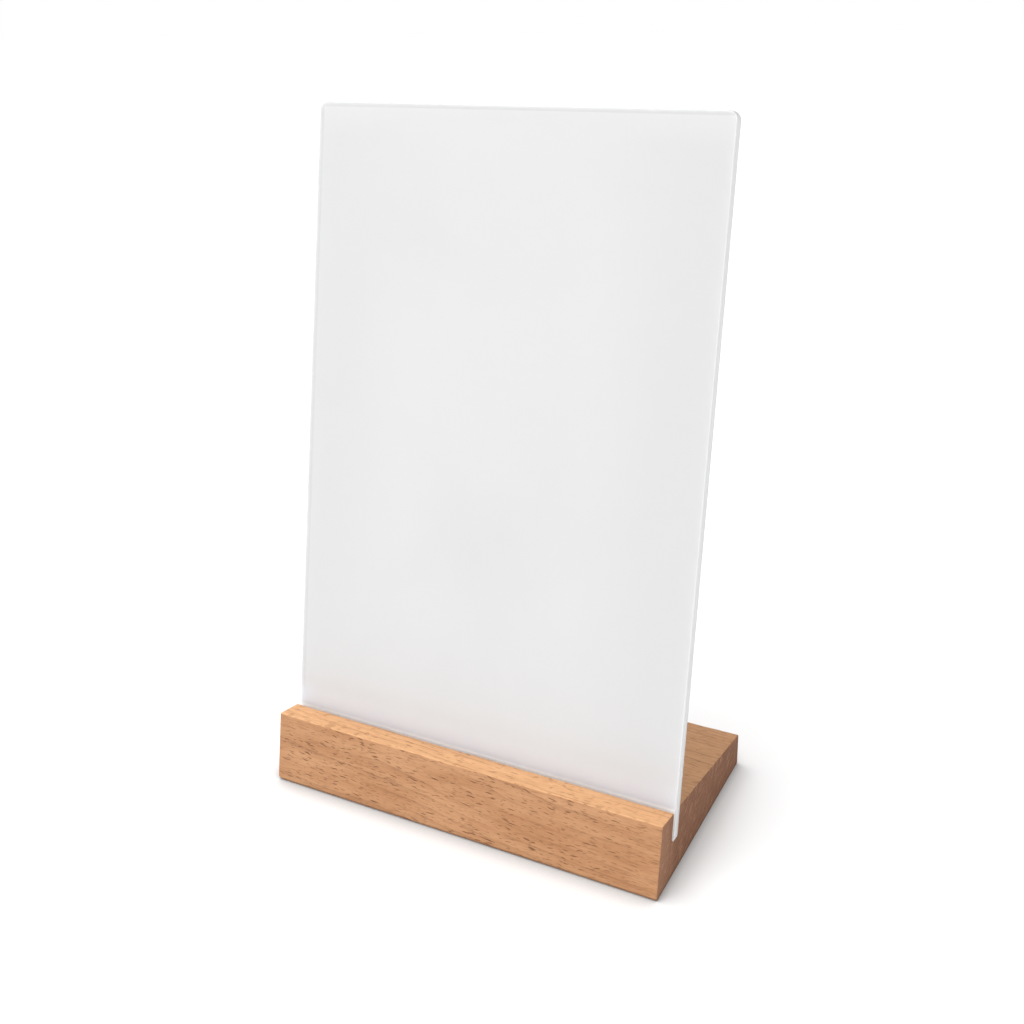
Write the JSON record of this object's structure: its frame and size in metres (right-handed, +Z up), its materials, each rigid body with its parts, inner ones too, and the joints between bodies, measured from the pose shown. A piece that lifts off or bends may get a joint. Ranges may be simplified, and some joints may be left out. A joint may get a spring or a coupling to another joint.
{
  "type": "desk plaque",
  "caption": "Blank award or sign plaque: a frosted acrylic plate stands in the through slot of a wedge-shaped beech block and leans back.",
  "frame": {"origin": "middle of the footprint, on the plane the block stands on", "axes": "+Z up, +X to the plaque's right end along the slot, -Y towards the viewer, so the plate leans back towards +Y"},
  "size_m": [0.15, 0.0845, 0.242],
  "materials": {
    "beech": "oiled, fine sanded",
    "frosted_acrylic": "satin, translucent white"
  },
  "bodies": {
    "base": {"base_block": "beech"},
    "plate": {"acrylic_plate": "frosted_acrylic"}
  },
  "joints": [
    {"name": "plate_lift", "type": "slide", "parent": "base", "child": "plate", "axis": [0, 0.1633, 0.9866], "range_m": [0, 0.03]}
  ]
}
